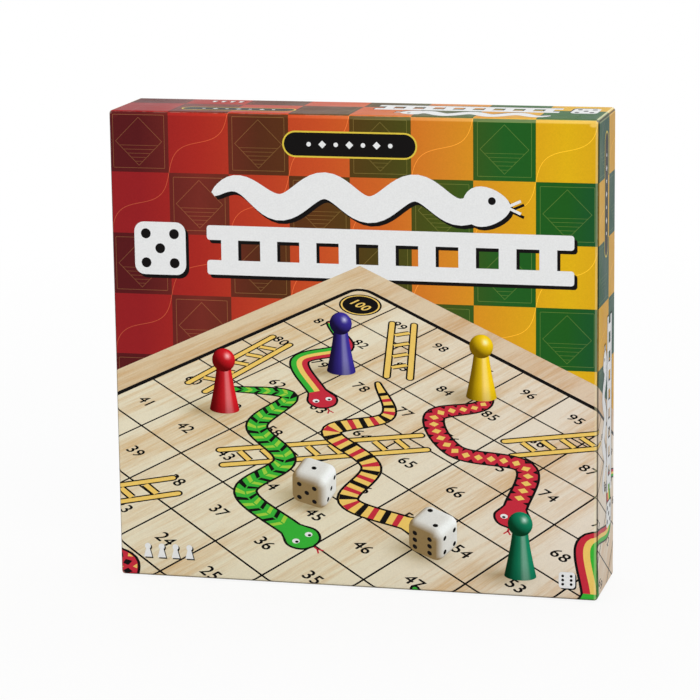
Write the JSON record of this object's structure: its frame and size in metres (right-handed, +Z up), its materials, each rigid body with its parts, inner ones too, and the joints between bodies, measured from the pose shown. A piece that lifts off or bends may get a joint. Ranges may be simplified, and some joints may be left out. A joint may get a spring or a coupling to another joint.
{
  "type": "boxed snakes and ladders game",
  "caption": "Telescoping board carton, printed on its lid, holding a wooden snakes and ladders board, a formed tray, pawns, dice and rules.",
  "frame": {"origin": "middle of the lid's lower wall, where the upright carton stands", "axes": "+Z up, the printed front faces -Y, +X to the right as seen from the front"},
  "size_m": [0.268, 0.054, 0.26],
  "materials": {
    "greyboard": "unlined grey pulp board",
    "lid_wrap": "coated paper, printed and satin laminated",
    "base_wrap": "coated white paper",
    "stay_tape": "gummed kraft paper",
    "insert_tray": "vacuum formed polystyrene sheet",
    "rules_leaflet": "uncoated folded sheet",
    "game_board": "printed and satin lacquered plywood",
    "pawn_red": "moulded, glossy",
    "pawn_yellow": "moulded, glossy",
    "pawn_blue": "moulded, glossy",
    "pawn_green": "moulded, glossy",
    "die_plastic": "moulded white with black pips"
  },
  "bodies": {
    "base": {"base_board": "greyboard", "base_wrap": "base_wrap", "base_stay_top_left": "stay_tape", "base_stay_top_right": "stay_tape", "base_stay_bottom_left": "stay_tape", "base_stay_bottom_right": "stay_tape"},
    "tray": {"insert_tray": "insert_tray"},
    "pawn_red": {"pawn_red": "pawn_red"},
    "pawn_yellow": {"pawn_yellow": "pawn_yellow"},
    "pawn_blue": {"pawn_blue": "pawn_blue"},
    "pawn_green": {"pawn_green": "pawn_green"},
    "die_a": {"die_a": "die_plastic"},
    "die_b": {"die_b": "die_plastic"},
    "leaflet": {"rules_leaflet": "rules_leaflet"},
    "board": {"game_board": "game_board"},
    "lid": {"lid_board": "greyboard", "lid_wrap": "lid_wrap", "lid_stay_top_left": "stay_tape", "lid_stay_top_right": "stay_tape", "lid_stay_bottom_left": "stay_tape", "lid_stay_bottom_right": "stay_tape"}
  },
  "joints": [
    {"name": "tray_lift", "type": "slide", "parent": "base", "child": "tray", "axis": [0, -1, 0], "range_m": [0, 0.07]},
    {"name": "pawn_red_lift", "type": "slide", "parent": "tray", "child": "pawn_red", "axis": [0, -1, 0], "range_m": [0, 0.07]},
    {"name": "pawn_yellow_lift", "type": "slide", "parent": "tray", "child": "pawn_yellow", "axis": [0, -1, 0], "range_m": [0, 0.07]},
    {"name": "pawn_blue_lift", "type": "slide", "parent": "tray", "child": "pawn_blue", "axis": [0, -1, 0], "range_m": [0, 0.07]},
    {"name": "pawn_green_lift", "type": "slide", "parent": "tray", "child": "pawn_green", "axis": [0, -1, 0], "range_m": [0, 0.07]},
    {"name": "die_a_lift", "type": "slide", "parent": "tray", "child": "die_a", "axis": [0, -1, 0], "range_m": [0, 0.07]},
    {"name": "die_b_lift", "type": "slide", "parent": "tray", "child": "die_b", "axis": [0, -1, 0], "range_m": [0, 0.07]},
    {"name": "leaflet_lift", "type": "slide", "parent": "pawn_red", "child": "leaflet", "axis": [0, -1, 0], "range_m": [0, 0.07]},
    {"name": "board_lift", "type": "slide", "parent": "leaflet", "child": "board", "axis": [0, -1, 0], "range_m": [0, 0.07]},
    {"name": "lid_lift", "type": "slide", "parent": "board", "child": "lid", "axis": [0, -1, 0], "range_m": [0, 0.07]}
  ],
  "couplings": [
    {"joint": "pawn_yellow_lift", "follows": "pawn_red_lift", "ratio": 1},
    {"joint": "pawn_blue_lift", "follows": "pawn_red_lift", "ratio": 1},
    {"joint": "pawn_green_lift", "follows": "pawn_red_lift", "ratio": 1},
    {"joint": "die_a_lift", "follows": "pawn_red_lift", "ratio": 1},
    {"joint": "die_b_lift", "follows": "pawn_red_lift", "ratio": 1}
  ]
}
